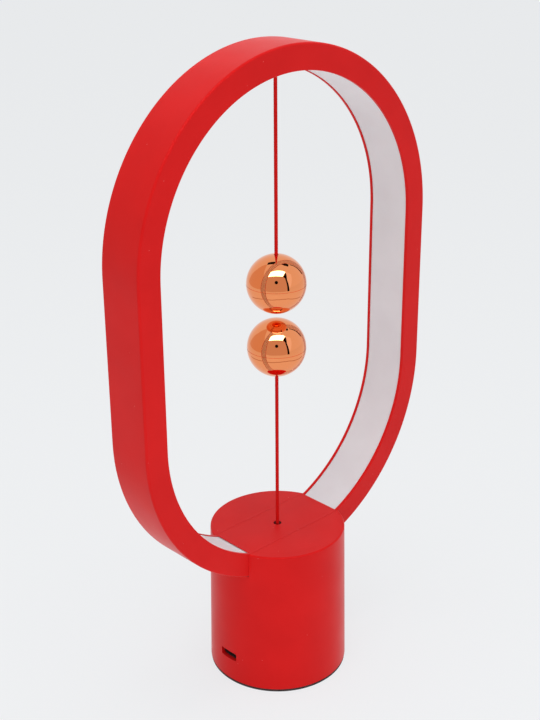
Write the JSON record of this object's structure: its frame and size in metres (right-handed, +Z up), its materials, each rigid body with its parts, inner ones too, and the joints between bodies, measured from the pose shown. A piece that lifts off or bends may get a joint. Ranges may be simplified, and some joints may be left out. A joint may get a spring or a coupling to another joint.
{
  "type": "magnetic balance lamp",
  "caption": "Desk lamp with a stadium-shaped light frame on a round base, switched on by lifting one cord-held ball until it hovers under another.",
  "frame": {"origin": "centre of the round base's underside, on the surface that the lamp stands on", "axes": "+Z up along the base's axis, X across the frame's opening, Y through the opening; the charging port faces -X"},
  "size_m": [0.2134, 0.0834, 0.3746],
  "materials": {
    "red_shell": "satin soft-touch red",
    "light_band": "milky translucent, unlit",
    "strip_film": "white flexible film",
    "led": "phosphor under clear resin",
    "inner_plastic": "plain moulded",
    "red_cord": "braided",
    "black_plastic": "fine matt",
    "soft_pad": "matt",
    "ballast": "zinc-dipped",
    "steel": "plated",
    "board": "solder mask",
    "contact_brass": "plain",
    "lead_cover": "insulation",
    "copper_mirror": "mirror-polished copper plate",
    "magnet_plate": "nickel plate"
  },
  "bodies": {
    "lamp_body": {"frame_lower_left": "red_shell", "frame_lower_right": "red_shell", "frame_upper_left": "red_shell", "frame_upper_right": "red_shell", "base_shell": "red_shell", "string_plate": "red_shell", "diffuser": "light_band", "led_strip": "strip_film", "led_chips": "led", "string_anchor": "inner_plastic", "anchor_knot": "red_cord", "bottom_plate": "black_plastic", "foot_pad": "soft_pad", "ballast_weight": "ballast", "base_screws": "steel", "circuit_board": "board", "board_screws": "steel", "board_components": "black_plastic", "port_surround": "black_plastic", "charging_socket": "steel", "socket_tongue": "black_plastic", "switch_carrier": "inner_plastic", "frame_screws": "steel", "carrier_screws": "steel", "switch_cap": "inner_plastic", "contact_blades": "contact_brass", "led_leads": "lead_cover", "switch_leads": "lead_cover", "upper_string_exit": "red_cord", "lower_string_exit": "red_cord"},
    "upper_bend": {"upper_string_bend": "red_cord"},
    "upper_pendulum": {"upper_string": "red_cord", "upper_ball_cord_half": "copper_mirror", "upper_ball_magnet_half": "copper_mirror", "upper_ball_magnet": "magnet_plate", "upper_ball_magnet_cap": "inner_plastic", "upper_ball_knot": "red_cord"},
    "switch_plunger_set": {"switch_plunger": "inner_plastic", "contact_ring": "contact_brass", "plunger_string": "red_cord", "return_spring": "steel"},
    "lower_bend": {"lower_string_bend": "red_cord"},
    "lower_run": {"lower_string_run": "red_cord"},
    "lower_drop": {"lower_string_drop": "red_cord"},
    "lower_weight": {"lower_ball_cord_half": "copper_mirror", "lower_ball_magnet_half": "copper_mirror", "lower_ball_magnet": "magnet_plate", "lower_ball_magnet_cap": "inner_plastic", "lower_ball_knot": "red_cord"}
  },
  "joints": [
    {"name": "upper_ball_swing", "type": "hinge", "parent": "lamp_body", "child": "upper_bend", "pos_m": [0, 0, 0.3595], "axis": [1, 0, 0], "range_deg": [-75, 75]},
    {"name": "upper_ball_sway", "type": "hinge", "parent": "upper_bend", "child": "upper_pendulum", "pos_m": [0, 0, 0.3595], "axis": [0, 1, 0], "range_deg": [-38, 38]},
    {"name": "lower_ball_tip", "type": "hinge", "parent": "lamp_body", "child": "lower_bend", "pos_m": [0, 0, 0.093], "axis": [1, 0, 0], "range_deg": [-90, 90]},
    {"name": "lower_ball_sway", "type": "hinge", "parent": "lower_bend", "child": "lower_run", "pos_m": [0, 0, 0.093], "axis": [0, 1, 0], "range_deg": [-40, 40]},
    {"name": "lower_string_fold", "type": "hinge", "parent": "lower_run", "child": "lower_drop", "pos_m": [0, 0, 0.136], "axis": [1, 0, 0], "range_deg": [-75.6, 75.6]},
    {"name": "string_draw", "type": "slide", "parent": "lower_drop", "child": "lower_weight", "axis": [0, 0, 1], "range_m": [-0.003, 0], "deforming": ["lower_string_drop"]},
    {"name": "switch_slide", "type": "slide", "parent": "lamp_body", "child": "switch_plunger_set", "axis": [0, 0, 1], "range_m": [-0.003, 0], "stiffness_N_per_m": 60, "springref_m": -0.005, "deforming": ["return_spring"]}
  ],
  "couplings": [
    {"joint": "lower_string_fold", "follows": "lower_ball_tip", "ratio": 0.84},
    {"joint": "switch_slide", "follows": "string_draw", "ratio": 1}
  ]
}
